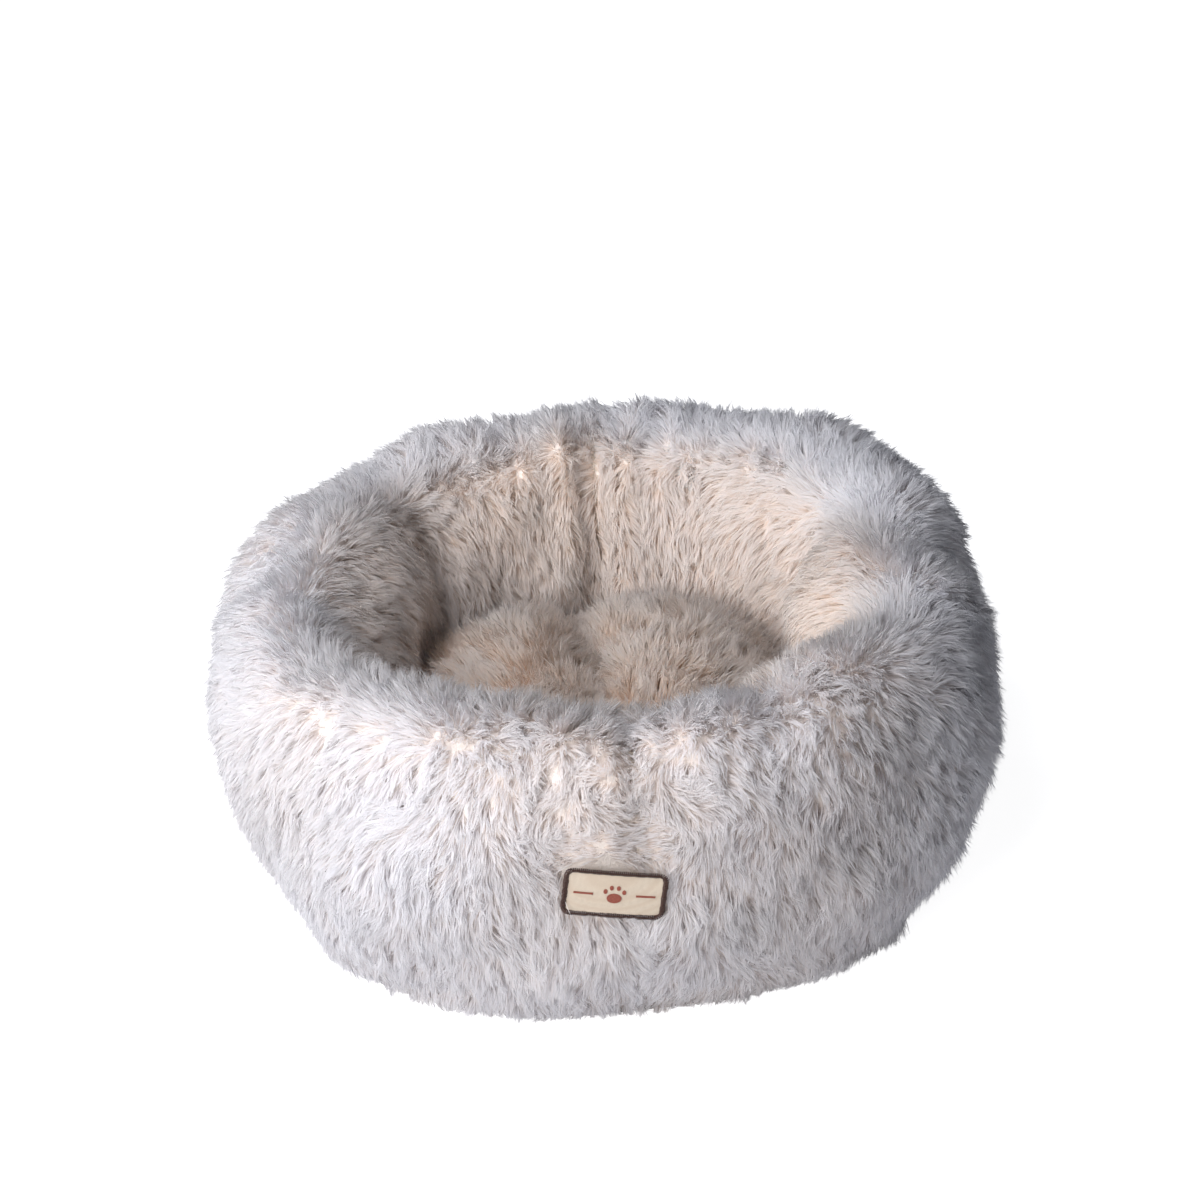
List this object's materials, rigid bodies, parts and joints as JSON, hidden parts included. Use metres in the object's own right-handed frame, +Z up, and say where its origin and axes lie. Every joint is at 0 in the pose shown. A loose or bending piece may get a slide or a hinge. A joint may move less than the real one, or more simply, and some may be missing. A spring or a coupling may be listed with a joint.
{
  "type": "pet cushion bed",
  "caption": "High-walled round pet bed in cream long-pile faux fur, with a stuffed ring wall, a sewn cloth base and a plush cushion that lifts out.",
  "frame": {"origin": "centre of the footprint, on the floor under the bed", "axes": "+Z up, front of the bed with its label faces -Y, +X to the right seen from the front"},
  "size_m": [0.5698, 0.5594, 0.25],
  "materials": {
    "plush": "cream long-pile faux fur with a warmer cast between the tufts",
    "base_cloth": "oat-coloured woven polyester with small grip dots",
    "lining": "plain woven cream lining cloth",
    "fibre": "white hollow polyester fibre",
    "seam": "turned-in cloth edges with cream thread",
    "label_cloth": "beige satin-faced woven label",
    "label_thread": "dark brown overlocked thread",
    "emblem_thread": "brick-red embroidery thread"
  },
  "bodies": {
    "bed": {"base_cloth": "base_cloth", "base_seam": "seam", "floor_wadding": "fibre", "floor_lining": "lining", "floor_seam": "seam", "wall_cover_left": "plush", "wall_cover_right": "plush", "wall_seam_front": "seam", "wall_seam_back": "seam", "wall_stuffing": "fibre", "label_patch": "label_cloth", "label_border": "label_thread", "label_emblem": "emblem_thread"},
    "cushion": {"cushion_top": "plush", "cushion_bottom": "lining", "cushion_seam": "seam", "cushion_stuffing": "fibre"}
  },
  "joints": [
    {"name": "cushion_lift", "type": "slide", "parent": "bed", "child": "cushion", "axis": [0, 0, 1], "range_m": [0, 0.28]}
  ]
}
